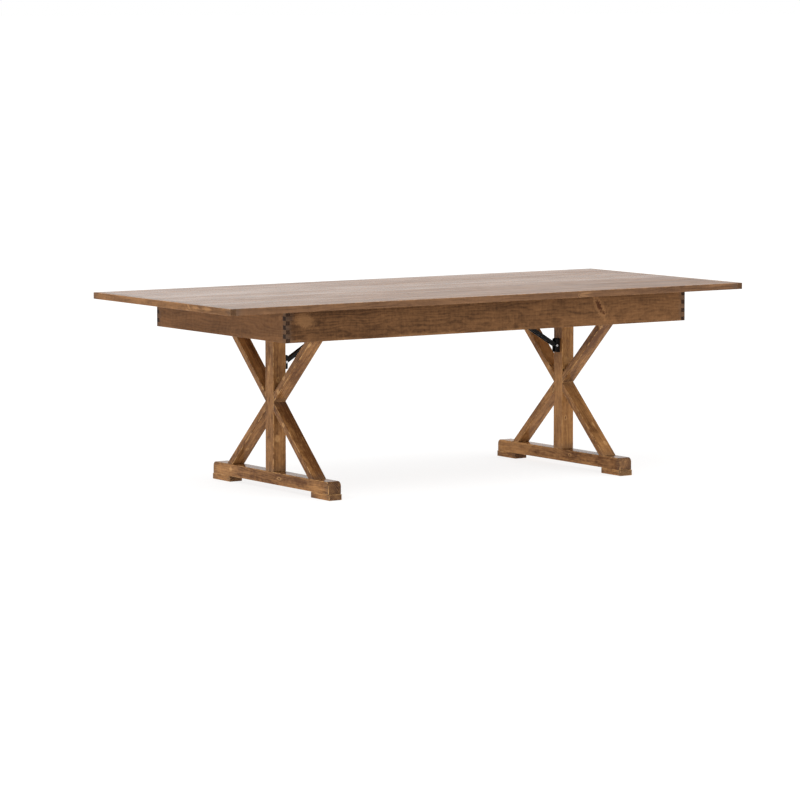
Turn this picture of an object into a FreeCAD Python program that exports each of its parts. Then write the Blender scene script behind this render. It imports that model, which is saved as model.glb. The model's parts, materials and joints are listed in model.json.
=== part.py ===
# Folding farmhouse dining table: a planked top on a finger-jointed apron, and two X-shaped
# trestle legs that fold flat under the top, each held open by a steel brace.
# Millimetres. +Z is up, X runs along the table, and the origin is on the floor under its centre.
# The front of the table is its -Y side, and its right end is its +X end.

import FreeCAD, Part
import Sketcher
import math
import os
import re

# Driving dimensions, each written once
dimensions = {
    # tabletop
    "top_length": 2438.4,
    "top_width": 1022.35,
    "top_thickness": 25.4,
    "table_height": 762.0,
    "end_board_width": 25.4,
    "plank_bevel": 0.8,
    "tongue_reach": 7.0,
    "tongue_height": 8.0,
    "tongue_clearance": 0.3,
    # apron frame
    "apron_length_share": 0.78125,
    "apron_side_overhang": 36.175,
    "apron_height": 118.0,
    "apron_thickness": 19.0,
    # battens, cleats and corner blocks under the planks
    "batten_width": 60.0,
    "batten_thickness": 20.0,
    "end_batten_room": 93.5,
    "batten_end_gap": 0.3,
    "batten_screw_inset": 15.0,
    "cleat_size": 20.0,
    "cleat_end_gap": 12.0,
    "cleat_screw_inset": 85.5,
    "block_side": 36.0,
    "block_nose": 8.0,
    "block_height": 80.0,
    # trestle legs
    "folded_feet_gap": 61.8,
    "leg_thickness": 58.0,
    "post_width": 59.0,
    "rail_height": 58.0,
    "cross_share": 0.484,
    "diagonal_depth": 27.0,
    "diagonal_inset": 101.2,
    "beam_end_gap": 34.5,
    "beam_height": 48.5,
    "beam_corner": 18.0,
    "pad_length": 130.0,
    "pad_height": 23.0,
    "pad_overhang": 5.0,
    # hinge plates and pivot pins
    "hinge_plate_width": 70.0,
    "hinge_plate_gap": 7.0,
    "hinge_plate_thickness": 4.0,
    "hinge_plate_corner": 8.0,
    "hinge_screw_inset": 12.0,
    "bush_reach": 12.0,
    "bush_wall": 5.0,
    "hinge_pin_radius": 6.0,
    "hinge_pin_grip": 45.0,
    "hinge_pin_end_gap": 0.5,
    "rail_end_gap": 2.0,
    "running_clearance": 0.05,
    "pin_chamfer": 0.8,
    # brace bracket on the post
    "bracket_width": 26.0,
    "bracket_height": 56.0,
    "bracket_reach": 20.0,
    "bracket_corner": 5.0,
    "bracket_screw_inset": 9.0,
    "brace_steel": 2.5,
    "brace_pivot_drop": 169.6,
    "brace_pivot_reach": 14.5,
    "rivet_radius": 4.0,
    "rivet_head_radius": 5.5,
    "rivet_head_height": 2.5,
    # brace bar
    "bar_depth": 15.0,
    "bar_wall": 2.0,
    "bar_side_gap": 0.7,
    "track_pin_radius": 4.0,
    # slotted track under the middle plank, and where the brace's pin rests in it with the leg folded
    "slot_folded_x": 105.8,
    "track_wall": 2.0,
    "track_depth": 30.0,
    "track_side_gap": 1.2,
    "track_pin_gap": 0.3,
    "track_end": 18.0,
    "track_slot_drop": 14.6,
    "track_notch_drop": 6.0,
    "track_slot_clearance": 0.3,
    "track_screw_inset": 30.0,
    # screws
    "wood_screw_radius": 2.0,
    "wood_screw_grip": 14.0,
    "steel_screw_grip": 12.0,
    "bracket_screw_grip": 22.0,
    "small_head_radius": 4.0,
    "small_head_height": 2.4,
    "frame_screw_radius": 3.0,
    "frame_screw_grip": 20.0,
    "pad_screw_grip": 26.0,
    "frame_head_radius": 5.5,
    "frame_head_height": 3.5,
    "head_recess": 6.0,
    "head_recess_clearance": 1.0,
    "screw_hole_clearance": 0.2,
    "screw_hole_spare": 1.0,
    "screw_tip": 3.0,
    "recess_width": 1.2,
    "recess_depth": 1.2,
    "post_screw_spread": 15.0,
    "pad_screw_spread": 35.0,
    # how far a cut runs past the face that it leaves by
    "cut_overrun": 2.0,
}

plank_count = 7
finger_count = 7
cleat_screw_count = 5

# Sizes and places that follow from the driving dimensions and from the lines above them
derived = {
    "underside": "table_height - top_thickness",
    "plank_width": "top_width / %d" % plank_count,
    "plank_length": "top_length - 2 * end_board_width",
    "tongue_middle": "top_thickness / 2",
    "groove_reach": "tongue_reach + tongue_clearance",
    "groove_half": "tongue_height / 2 + tongue_clearance",
    "apron_length": "top_length * apron_length_share",
    "apron_width": "top_width - 2 * apron_side_overhang",
    "apron_bottom": "underside - apron_height",
    "apron_inner_y": "apron_width / 2 - apron_thickness",
    "apron_inner_x": "apron_length / 2 - apron_thickness",
    "finger_pitch": "apron_height / %d" % finger_count,
    "end_batten_place": "apron_inner_x - end_batten_room",
    "batten_length": "2 * (apron_inner_y - cleat_size - batten_end_gap)",
    "cleat_length": "2 * (apron_inner_x - block_side - cleat_end_gap)",
    "cleat_screw_pitch": "(cleat_length - 2 * cleat_screw_inset) / %d" % (cleat_screw_count - 1),
    "hinge_height": "underside - (apron_height + cleat_size) / 2",
    "hinge_plate_height": "apron_height - cleat_size - 2 * hinge_plate_gap",
    "leg_place": "hinge_height + folded_feet_gap / 2",
    "half_leg": "leg_thickness / 2",
    "half_post": "post_width / 2",
    "beam_length": "2 * (apron_inner_y - beam_end_gap)",
    "beam_top": "pad_height + beam_height",
    "rail_bottom": "hinge_height - rail_height / 2",
    "rail_length": "2 * (apron_inner_y - hinge_plate_thickness - bush_reach - rail_end_gap)",
    "cross_height": "beam_top + cross_share * (rail_bottom - beam_top)",
    "upper_reach": "rail_length / 2 - diagonal_inset",
    "rise": "(rail_bottom - cross_height) / (upper_reach - half_post)",
    "diagonal_face": "diagonal_depth * sqrt(1 + rise * rise)",
    "upper_inner": "upper_reach - diagonal_face / rise",
    "lower_reach": "half_post + (cross_height - beam_top) / rise",
    "lower_inner": "lower_reach - diagonal_face / rise",
    "upper_screw": "upper_inner + frame_head_radius + screw_tip / 2",
    "lower_screw": "lower_inner + frame_head_radius + screw_tip / 2",
    "pad_place": "beam_length / 2 + pad_overhang - pad_length / 2",
    "bush_radius": "hinge_pin_radius + bush_wall",
    "hinge_bore": "hinge_pin_radius + running_clearance",
    "bracket_inner": "bracket_width - 2 * brace_steel",
    "bar_width": "bracket_inner - 2 * bar_side_gap",
    "bar_radius": "bar_depth / 2",
    "brace_pivot_height": "hinge_height - brace_pivot_drop",
    "pivot_x": "leg_place - half_leg - brace_pivot_reach",
    "slot_height": "underside - track_slot_drop",
    "folded_reach": "leg_place - brace_pivot_drop - slot_folded_x",
    "folded_rise": "slot_height - hinge_height - half_leg - brace_pivot_reach",
    "bar_length": "sqrt(folded_reach * folded_reach + folded_rise * folded_rise)",
    "bar_rise": "slot_height - track_notch_drop - brace_pivot_height",
    "bar_run": "sqrt(bar_length * bar_length - bar_rise * bar_rise)",
    "brace_angle": "asin(bar_rise / bar_length) / 1deg",
    "slot_open_x": "pivot_x - bar_run",
    "track_inner": "bar_width + 2 * track_side_gap",
    "track_outer": "track_inner + 2 * track_wall",
    "track_length": "slot_open_x - slot_folded_x + 2 * track_end",
    "track_middle": "(slot_open_x + slot_folded_x) / 2",
    "track_pin_length": "track_inner - 2 * track_pin_gap",
    "slot_radius": "track_pin_radius + track_slot_clearance",
    "rivet_bore": "rivet_radius + running_clearance",
    "track_pin_bore": "track_pin_radius + running_clearance",
    "wood_hole": "wood_screw_radius + screw_hole_clearance",
    "frame_hole": "frame_screw_radius + screw_hole_clearance",
    "head_hole": "frame_head_radius + head_recess_clearance",
}

# The sheet holds every size under its own name: the driving ones as numbers, the rest as formulas
doc = FreeCAD.newDocument("folding_table")
sheet = doc.addObject("Spreadsheet::Sheet", "dims")
cells = {alias: str(size) for alias, size in dimensions.items()}
cells.update({alias: "=" + formula for alias, formula in derived.items()})
for row, (alias, content) in enumerate(cells.items(), start=1):
    sheet.set("A%d" % row, alias)
    sheet.set("B%d" % row, content)
    sheet.setAlias("B%d" % row, alias)
doc.recompute()

pieces = []


# Text with the sizes' plain names becomes an expression on the sheet's cells
def spell(text):
    def replace(match):
        word = match.group()
        return "dims." + word if word in cells else word
    return re.sub(r"[a-z_]+", replace, text)


# A text's present value, read from the sheet
def number(text):
    return float(sheet.evalExpression(text))


# Sketches: points, circles and slots tied to the sheet
def sketch_on(body, plane, offset="0"):
    sketch = body.newObject("Sketcher::SketchObject", body.Name + "_sketch")
    support = next(item for item in body.Origin.OriginFeatures if item.Role == plane)
    sketch.AttachmentSupport = (support, [""])
    sketch.MapMode = "FlatFace"
    sketch.setExpression("AttachmentOffset.Base.z", spell(offset))
    return sketch


def tie(sketch, geometry, point, x, y):
    for kind, text in (("DistanceX", x), ("DistanceY", y)):
        index = sketch.addConstraint(
            Sketcher.Constraint(kind, -1, 1, geometry, point, number(text)))
        sketch.setExpression("Constraints[%d]" % index, spell(text))


def outline(sketch, points):
    first = sketch.GeometryCount
    corners = [FreeCAD.Vector(number(x), number(y), 0) for x, y in points]
    count = len(corners)
    for index in range(count):
        sketch.addGeometry(Part.LineSegment(corners[index], corners[(index + 1) % count]))
    for index in range(count):
        following = first + (index + 1) % count
        sketch.addConstraint(Sketcher.Constraint("Coincident", first + index, 2, following, 1))
        tie(sketch, first + index, 1, *points[index])


def rectangle(sketch, left, bottom, right, top):
    outline(sketch, [(left, bottom), (right, bottom), (right, top), (left, top)])


def circle(sketch, x, y, radius):
    centre = FreeCAD.Vector(number(x), number(y), 0)
    index = sketch.addGeometry(Part.Circle(centre, FreeCAD.Vector(0, 0, 1), number(radius)))
    tie(sketch, index, 3, x, y)
    limit = sketch.addConstraint(Sketcher.Constraint("Radius", index, number(radius)))
    sketch.setExpression("Constraints[%d]" % limit, spell(radius))


# A slot: two half circles and their tangents, from one centre to the other
def slot(sketch, start, end, radius):
    first = sketch.GeometryCount
    begin = FreeCAD.Vector(number(start[0]), number(start[1]), 0)
    finish = FreeCAD.Vector(number(end[0]), number(end[1]), 0)
    size = number(radius)
    along = (finish - begin).normalize()
    side = FreeCAD.Vector(-along.y, along.x, 0) * size
    turn = math.atan2(along.y, along.x)
    up = FreeCAD.Vector(0, 0, 1)
    quarter = math.pi / 2
    sketch.addGeometry(Part.ArcOfCircle(Part.Circle(begin, up, size), turn + quarter, turn + 3 * quarter))
    sketch.addGeometry(Part.ArcOfCircle(Part.Circle(finish, up, size), turn - quarter, turn + quarter))
    sketch.addGeometry(Part.LineSegment(begin - side, finish - side))
    sketch.addGeometry(Part.LineSegment(finish + side, begin + side))
    near, far, lower, upper = range(first, first + 4)
    sketch.addConstraint(Sketcher.Constraint("Tangent", near, 2, lower, 1))
    sketch.addConstraint(Sketcher.Constraint("Tangent", lower, 2, far, 1))
    sketch.addConstraint(Sketcher.Constraint("Tangent", far, 2, upper, 1))
    sketch.addConstraint(Sketcher.Constraint("Tangent", upper, 2, near, 1))
    tie(sketch, near, 3, *start)
    tie(sketch, far, 3, *end)
    limit = sketch.addConstraint(Sketcher.Constraint("Radius", near, size))
    sketch.setExpression("Constraints[%d]" % limit, spell(radius))


# Solids made from sketches
def new_body(label):
    body = doc.addObject("PartDesign::Body", label)
    body.Label = label
    pieces.append(body)
    return body


def pad(body, sketch, length, both_ways=False):
    feature = body.newObject("PartDesign::Pad", body.Name + "_pad")
    feature.Profile = sketch
    feature.Midplane = both_ways
    feature.setExpression("Length", spell(length))
    sketch.Visibility = False
    return feature


# A cut runs the given depth to both sides of its sketch
def cut(body, sketch, depth):
    feature = body.newObject("PartDesign::Pocket", body.Name + "_cut")
    feature.Profile = sketch
    feature.Midplane = True
    feature.setExpression("Length", "2 * (" + spell(depth) + ")")
    return feature


def drill(body, plane, places, radius, depth, offset="0"):
    sketch = sketch_on(body, plane, offset)
    for x, y in places:
        circle(sketch, x, y, radius)
    return cut(body, sketch, depth)


def round_edges(body, radius, wanted):
    doc.recompute()
    base = body.Tip
    names = [
        "Edge%d" % (index + 1)
        for index, edge in enumerate(base.Shape.Edges)
        if wanted(edge)
    ]
    feature = body.newObject("PartDesign::Fillet", body.Name + "_round")
    feature.Base = (base, names)
    feature.setExpression("Radius", spell(radius))
    return feature


def place(piece, x="0", y="0", z="0", turn=0, tilt="0"):
    turned = "rotation(vector(0; 0; 1); %d) * rotation(vector(0; 1; 0); %s)" % (turn, spell(tilt))
    middle = "vector(%s; %s; %s)" % (spell(x), spell(y), spell(z))
    piece.setExpression("Placement", "placement(%s; %s)" % (middle, turned))


def signed(sign, text):
    return text if sign > 0 else "-(" + text + ")"


# Screws: a pan head with a cross recess on a plain shank with a pointed tip
def screw(at, towards, length, radius, head_radius, head_height):
    shank = Part.makeCylinder(radius, length - number("screw_tip"))
    tip = Part.makeCone(radius, radius / 4, number("screw_tip"))
    tip.translate(FreeCAD.Vector(0, 0, length - number("screw_tip")))
    head = Part.makeCylinder(head_radius, head_height)
    head.translate(FreeCAD.Vector(0, 0, -head_height))
    head = head.makeFillet(head_height / 3, [head.Edges[edge] for edge in rim_edges(head)])
    shape = head.fuse([shank, tip])
    width = number("recess_width")
    depth = number("recess_depth")
    reach = head_radius * 2 / 3
    for spread_x, spread_y in ((reach, width / 2), (width / 2, reach)):
        groove = Part.makeBox(2 * spread_x, 2 * spread_y, 2 * depth)
        groove.translate(FreeCAD.Vector(-spread_x, -spread_y, -head_height - depth))
        shape = shape.cut(groove)
    turn = FreeCAD.Rotation(FreeCAD.Vector(0, 0, 1), FreeCAD.Vector(*towards))
    shape.Placement = FreeCAD.Placement(FreeCAD.Vector(*at), turn)
    return shape


# The outer rim of a head is its circle on the far side from the shank
def rim_edges(head):
    lowest = head.BoundBox.ZMin
    return [
        index for index, edge in enumerate(head.Edges)
        if len(edge.Vertexes) == 1 and abs(edge.BoundBox.ZMax - lowest) < head.BoundBox.ZLength / 2
    ]


def group(label, shapes, turn=0, x=0.0):
    feature = doc.addObject("Part::Feature", label)
    feature.Label = label
    feature.Shape = Part.makeCompound(shapes)
    turned = FreeCAD.Rotation(FreeCAD.Vector(0, 0, 1), turn)
    feature.Placement = FreeCAD.Placement(FreeCAD.Vector(x, 0, 0), turned)
    pieces.append(feature)
    return feature


# Where the battens, cleats and tracks are screwed up into the planks, and the cleats to the aprons
batten_places = ["-end_batten_place", "0", "end_batten_place"]
batten_labels = ["left_batten", "middle_batten", "right_batten"]
track_screws = ["slot_folded_x + track_screw_inset", "track_middle", "slot_open_x - track_screw_inset"]
cleat_screws = [
    "cleat_screw_pitch * %g" % (index - (cleat_screw_count - 1) / 2)
    for index in range(cleat_screw_count)
]
cleat_side_screws = [
    "cleat_screw_pitch * %g" % (index - (cleat_screw_count - 2) / 2)
    for index in range(cleat_screw_count - 1)
]
cleat_line = "apron_inner_y - cleat_size / 2"

# Where the hinge plates are screwed to the long aprons, from the pivot
hinge_screw_places = [
    (signed(side, "hinge_plate_width / 2 - hinge_screw_inset"),
     signed(up, "hinge_plate_height / 2 - hinge_screw_inset"))
    for side in (-1, 1) for up in (-1, 1)
]

# Where the brace bracket is screwed to the post
bracket_bottom = "brace_pivot_height - bracket_height / 2"
bracket_screw_heights = [
    bracket_bottom + " + bracket_screw_inset",
    bracket_bottom + " + bracket_height - bracket_screw_inset",
]

# Where the foot pads are screwed to the beam
pad_screw_lines = [
    signed(sign, "pad_place + (%s)" % signed(step, "pad_screw_spread"))
    for sign in (-1, 1) for step in (-1, 1)
]


def plank_middle(index):
    return "plank_width * %g" % (index - (plank_count - 1) / 2)


# The side of the table on which an outer plank lies
def outer_side(index):
    return -1 if index == 0 else 1


# A batten's screws stand in the planks' middles, and in the outer planks near its own ends
def batten_screw_line(index):
    if index in (0, plank_count - 1):
        return signed(outer_side(index), "batten_length / 2 - batten_screw_inset")
    return plank_middle(index)


# Planks along the table, joined by tongues and grooves, counted from the front
def make_plank(index):
    body = new_body("plank_%d" % (index + 1))
    half = "plank_width / 2"
    edge = "tongue_middle"
    points = [("-" + half, "0"), (half, "0")]
    if index < plank_count - 1:
        points += [
            (half, edge + " - tongue_height / 2"),
            (half + " + tongue_reach", edge + " - tongue_height / 2"),
            (half + " + tongue_reach", edge + " + tongue_height / 2"),
            (half, edge + " + tongue_height / 2"),
        ]
    points += [
        (half, "top_thickness - plank_bevel"),
        (half + " - plank_bevel", "top_thickness"),
        ("plank_bevel - " + half, "top_thickness"),
        ("-" + half, "top_thickness - plank_bevel"),
    ]
    if index > 0:
        points += [
            ("-" + half, edge + " + groove_half"),
            ("groove_reach - " + half, edge + " + groove_half"),
            ("groove_reach - " + half, edge + " - groove_half"),
            ("-" + half, edge + " - groove_half"),
        ]
    profile = sketch_on(body, "YZ_Plane")
    outline(profile, points)
    pad(body, profile, "plank_length", both_ways=True)
    holes = [(x, "%s - (%s)" % (batten_screw_line(index), plank_middle(index))) for x in batten_places]
    if index in (0, plank_count - 1):
        line = "%s - (%s)" % (signed(outer_side(index), cleat_line), plank_middle(index))
        holes += [(x, line) for x in cleat_screws]
    drill(body, "XY_Plane", holes, "wood_hole", "wood_screw_grip + screw_hole_spare")
    if index == plank_count // 2:
        steel = [(signed(side, x), "0") for side in (-1, 1) for x in track_screws]
        drill(body, "XY_Plane", steel, "wood_hole", "steel_screw_grip + screw_hole_spare")
    place(body, y=plank_middle(index), z="underside")


# End boards close the planks' ends
def make_end_board(label, side):
    body = new_body(label)
    profile = sketch_on(body, "XZ_Plane")
    outline(profile, [
        ("0", "0"),
        ("end_board_width", "0"),
        ("end_board_width", "top_thickness - plank_bevel"),
        ("end_board_width - plank_bevel", "top_thickness"),
        ("plank_bevel", "top_thickness"),
        ("0", "top_thickness - plank_bevel"),
    ])
    pad(body, profile, "top_width", both_ways=True)
    place(body, x=signed(side, "plank_length / 2"), z="underside", turn=0 if side > 0 else 180)


# Apron boards: the end boards have the outer fingers, the long boards the ones between
def make_apron(label, length, long_side, x, y, turn):
    body = new_body(label)
    board = sketch_on(body, "XZ_Plane")
    rectangle(board, "-(%s) / 2" % length, "0", length + " / 2", "apron_height")
    pad(body, board, "apron_thickness")
    first = "0" if long_side else "finger_pitch"
    notches = sketch_on(body, "XZ_Plane")
    for sign in (-1, 1):
        low = signed(sign, "(%s) / 2 - apron_thickness" % length)
        high = signed(sign, "(%s) / 2 + cut_overrun" % length)
        rectangle(notches, low, first, high, first + " + finger_pitch")
    notch = cut(body, notches, "apron_thickness + cut_overrun")
    count = (finger_count + 1) // 2 if long_side else finger_count // 2
    pattern = body.newObject("PartDesign::LinearPattern", body.Name + "_fingers")
    pattern.Originals = [notch]
    upright = next(item for item in body.Origin.OriginFeatures if item.Role == "Z_Axis")
    pattern.Direction = (upright, [""])
    pattern.setExpression("Length", spell("finger_pitch * %d" % (2 * (count - 1))))
    pattern.Occurrences = count
    body.Tip = pattern
    doc.recompute()
    if long_side:
        plate_holes = [
            (signed(side, "leg_place + (%s)" % dx), "hinge_height - apron_bottom + (%s)" % dz)
            for side in (-1, 1) for dx, dz in hinge_screw_places
        ]
        drill(body, "XZ_Plane", plate_holes, "wood_hole", "steel_screw_grip + screw_hole_spare")
        across = [(x_place, "apron_height - cleat_size / 2") for x_place in cleat_side_screws]
        drill(body, "XZ_Plane", across, "wood_hole", "wood_screw_grip + screw_hole_spare")
    place(body, x=x, y=y, z="apron_bottom", turn=turn)


# Battens hold the planks together, between the cleats
def make_batten(label, x):
    body = new_body(label)
    face = sketch_on(body, "XY_Plane")
    rectangle(face, "-batten_width / 2", "-batten_length / 2", "batten_width / 2", "batten_length / 2")
    pad(body, face, "batten_thickness")
    holes = [("0", batten_screw_line(index)) for index in range(plank_count)]
    drill(body, "XY_Plane", holes, "wood_hole", "batten_thickness + cut_overrun")
    place(body, x=x, z="underside - batten_thickness")


# Cleats tie the long aprons to the planks
def make_cleat(label, turn):
    body = new_body(label)
    face = sketch_on(body, "XY_Plane")
    rectangle(face, "-cleat_length / 2", "-cleat_size / 2", "cleat_length / 2", "cleat_size / 2")
    pad(body, face, "cleat_size")
    drill(body, "XY_Plane", [(x, "0") for x in cleat_screws], "wood_hole", "cleat_size + cut_overrun")
    side = [(x, "cleat_size / 2") for x in cleat_side_screws]
    drill(body, "XZ_Plane", side, "wood_hole", "cleat_size / 2 + cut_overrun")
    y = signed(1 if turn == 0 else -1, cleat_line)
    place(body, y=y, z="underside - cleat_size", turn=turn)


# Glue blocks in the four corners of the apron frame
def corner_block(side_x, side_y):
    x = side_x * number("apron_inner_x")
    y = side_y * number("apron_inner_y")
    reach = number("block_side")
    nose = number("block_nose")
    top = number("underside")
    corners = [
        (x, y),
        (x - side_x * reach, y),
        (x - side_x * reach, y - side_y * nose),
        (x - side_x * nose, y - side_y * reach),
        (x, y - side_y * reach),
    ]
    wire = Part.makePolygon([FreeCAD.Vector(px, py, top) for px, py in corners + corners[:1]])
    return Part.Face(wire).extrude(FreeCAD.Vector(0, 0, -number("block_height")))


# Steel plates on the long aprons carry the legs' pivot pins in a bush
def make_hinge_plate(label, x, y, turn):
    body = new_body(label)
    bush = sketch_on(body, "XZ_Plane")
    circle(bush, "0", "0", "bush_radius")
    pad(body, bush, "hinge_plate_thickness + bush_reach")
    plate = sketch_on(body, "XZ_Plane")
    wide = "hinge_plate_width / 2"
    tall = "hinge_plate_height / 2"
    rectangle(plate, "-" + wide, "-" + tall, wide, tall)
    pad(body, plate, "hinge_plate_thickness")
    corner = number("hinge_plate_thickness")
    round_edges(body, "hinge_plate_corner", lambda edge: (
        len(edge.Vertexes) == 2
        and edge.BoundBox.XLength < edge.Length / 2
        and edge.BoundBox.ZLength < edge.Length / 2
        and abs(edge.Length - corner) < corner / 2))
    drill(body, "XZ_Plane", [("0", "0")], "hinge_bore", "hinge_plate_thickness + bush_reach + cut_overrun")
    drill(body, "XZ_Plane", hinge_screw_places, "wood_hole", "hinge_plate_thickness + cut_overrun")
    place(body, x=x, y=y, z="hinge_height", turn=turn)


# Slotted tracks under the middle plank take the upper ends of the braces
def make_track(label, turn):
    body = new_body(label)
    profile = sketch_on(body, "YZ_Plane", "track_middle")
    outer = "track_outer / 2"
    inner = "track_inner / 2"
    outline(profile, [
        ("-" + outer, "-track_depth"),
        ("-" + inner, "-track_depth"),
        ("-" + inner, "-track_wall"),
        (inner, "-track_wall"),
        (inner, "-track_depth"),
        (outer, "-track_depth"),
        (outer, "0"),
        ("-" + outer, "0"),
    ])
    pad(body, profile, "track_length", both_ways=True)
    level = "-track_slot_drop"
    run = sketch_on(body, "XZ_Plane")
    slot(run, ("slot_folded_x", level), ("slot_open_x", level), "slot_radius")
    cut(body, run, "track_outer / 2 + cut_overrun")
    notch = sketch_on(body, "XZ_Plane")
    slot(notch, ("slot_open_x", level + " - track_notch_drop"), ("slot_open_x", level), "slot_radius")
    cut(body, notch, "track_outer / 2 + cut_overrun")
    holes = [(x, "0") for x in track_screws]
    drill(body, "XY_Plane", holes, "wood_hole", "track_wall + cut_overrun")
    place(body, z="underside", turn=turn)


# Trestle leg pieces, in a frame whose origin is on the floor under the leg's middle, with the
# table's centre on the -X side. The left leg is the same set turned half a turn.
def leg_side(side):
    return {"x": signed(side, "leg_place"), "turn": 0 if side > 0 else 180}


def make_post(label, side):
    body = new_body(label)
    face = sketch_on(body, "XY_Plane")
    rectangle(face, "-half_leg", "-half_post", "half_leg", "half_post")
    height = "rail_bottom - beam_top"
    pad(body, face, height)
    ends = [("0", "-post_screw_spread"), ("0", "post_screw_spread")]
    deep = "frame_screw_grip + screw_hole_spare"
    drill(body, "XY_Plane", ends, "frame_hole", deep)
    drill(body, "XY_Plane", ends, "frame_hole", deep, offset=height)
    bracket = [("0", z + " - beam_top") for z in bracket_screw_heights]
    bracket_deep = "bracket_screw_grip + screw_hole_spare"
    drill(body, "YZ_Plane", bracket, "wood_hole", bracket_deep, offset="-half_leg")
    place(body, z="beam_top", **leg_side(side))


def make_rail(label, side):
    body = new_body(label)
    face = sketch_on(body, "XY_Plane")
    rectangle(face, "-half_leg", "-rail_length / 2", "half_leg", "rail_length / 2")
    pad(body, face, "rail_height")
    holes = [("0", signed(sign, y)) for sign in (-1, 1) for y in ("post_screw_spread", "upper_screw")]
    drill(body, "XY_Plane", holes, "frame_hole", "rail_height + cut_overrun")
    for sign in (-1, 1):
        end = signed(sign, "rail_length / 2")
        drill(body, "XZ_Plane", [("0", "rail_height / 2")], "hinge_bore", "hinge_pin_grip", offset=end)
    place(body, z="rail_bottom", **leg_side(side))


# A diagonal butts the post at the crossing and the rail or the foot beam at its other end
def make_diagonal(label, side, across, upper):
    body = new_body(label)
    if upper:
        points = [
            ("half_post", "cross_height"),
            ("upper_reach", "rail_bottom"),
            ("upper_inner", "rail_bottom"),
            ("half_post", "cross_height + diagonal_face"),
        ]
        screw_place, level = "upper_screw", "rail_bottom"
    else:
        points = [
            ("half_post", "cross_height"),
            ("half_post", "cross_height - diagonal_face"),
            ("lower_inner", "beam_top"),
            ("lower_reach", "beam_top"),
        ]
        screw_place, level = "lower_screw", "beam_top"
    turned = across * side
    profile = sketch_on(body, "YZ_Plane")
    outline(profile, [(signed(turned, y), z) for y, z in points])
    pad(body, profile, "leg_thickness", both_ways=True)
    hole = [("0", signed(turned, screw_place))]
    drill(body, "XY_Plane", hole, "frame_hole", "frame_screw_grip + screw_hole_spare", offset=level)
    place(body, **leg_side(side))


def make_beam(label, side):
    body = new_body(label)
    face = sketch_on(body, "XY_Plane")
    rectangle(face, "-half_leg", "-beam_length / 2", "half_leg", "beam_length / 2")
    pad(body, face, "beam_height")
    doc.recompute()
    height = number("beam_height")
    round_edges(body, "beam_corner", lambda edge: (
        edge.BoundBox.XLength > edge.Length / 2 and edge.BoundBox.ZMin > height / 2))
    through = [("0", signed(sign, y)) for sign in (-1, 1) for y in ("post_screw_spread", "lower_screw")]
    drill(body, "XY_Plane", through, "frame_hole", "beam_height + cut_overrun")
    pads = [("0", y) for y in pad_screw_lines]
    drill(body, "XY_Plane", pads, "frame_hole", "pad_screw_grip + screw_hole_spare")
    place(body, z="pad_height", **leg_side(side))


def make_pad(label, side, across):
    body = new_body(label)
    face = sketch_on(body, "XY_Plane")
    rectangle(face, "-half_leg", "-pad_length / 2", "half_leg", "pad_length / 2")
    pad(body, face, "pad_height")
    holes = [("0", signed(step, "pad_screw_spread")) for step in (-1, 1)]
    drill(body, "XY_Plane", holes, "frame_hole", "pad_height + cut_overrun")
    drill(body, "XY_Plane", holes, "head_hole", "head_recess")
    leg = leg_side(side)
    place(body, y=signed(across, "pad_place"), **leg)


# A folded steel bracket on the post's inner face holds the brace's pivot rivet
def make_bracket(label, side):
    body = new_body(label)
    profile = sketch_on(body, "XY_Plane")
    outer = "bracket_width / 2"
    inner = "bracket_inner / 2"
    back = "-half_leg"
    front = "-half_leg - bracket_reach"
    web = "-half_leg - brace_steel"
    outline(profile, [
        (back, "-" + outer),
        (back, outer),
        (front, outer),
        (front, inner),
        (web, inner),
        (web, "-" + inner),
        (front, "-" + inner),
        (front, "-" + outer),
    ])
    pad(body, profile, "bracket_height")
    doc.recompute()
    nose = number(front)
    steel = number("brace_steel")
    round_edges(body, "bracket_corner", lambda edge: (
        abs(edge.Length - steel) < steel / 2
        and edge.BoundBox.YLength > edge.Length / 2
        and edge.BoundBox.XMax < nose + steel))
    drill(body, "XZ_Plane", [("-half_leg - brace_pivot_reach", "bracket_height / 2")],
          "rivet_bore", "bracket_width / 2 + cut_overrun")
    screws = [("0", z + " - (%s)" % bracket_bottom) for z in bracket_screw_heights]
    drill(body, "YZ_Plane", screws, "wood_hole", "brace_steel + cut_overrun", offset="-half_leg")
    place(body, z=bracket_bottom, **leg_side(side))


def make_rivet(label, side):
    body = new_body(label)
    profile = sketch_on(body, "XY_Plane")
    half = "bracket_width / 2"
    dome = "rivet_head_height / 3"
    outline(profile, [
        ("0", "-(%s) - rivet_head_height" % half),
        ("rivet_head_radius - " + dome, "-(%s) - rivet_head_height" % half),
        ("rivet_head_radius", "-(%s) - rivet_head_height + %s" % (half, dome)),
        ("rivet_head_radius", "-(%s)" % half),
        ("rivet_radius", "-(%s)" % half),
        ("rivet_radius", half),
        ("rivet_head_radius", half),
        ("rivet_head_radius", "%s + rivet_head_height - %s" % (half, dome)),
        ("rivet_head_radius - " + dome, half + " + rivet_head_height"),
        ("0", half + " + rivet_head_height"),
    ])
    turned = body.newObject("PartDesign::Revolution", body.Name + "_turned")
    turned.Profile = profile
    turned.ReferenceAxis = (profile, ["V_Axis"])
    place(body, x=signed(side, "pivot_x"), z="brace_pivot_height", turn=0 if side > 0 else 180)


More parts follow.
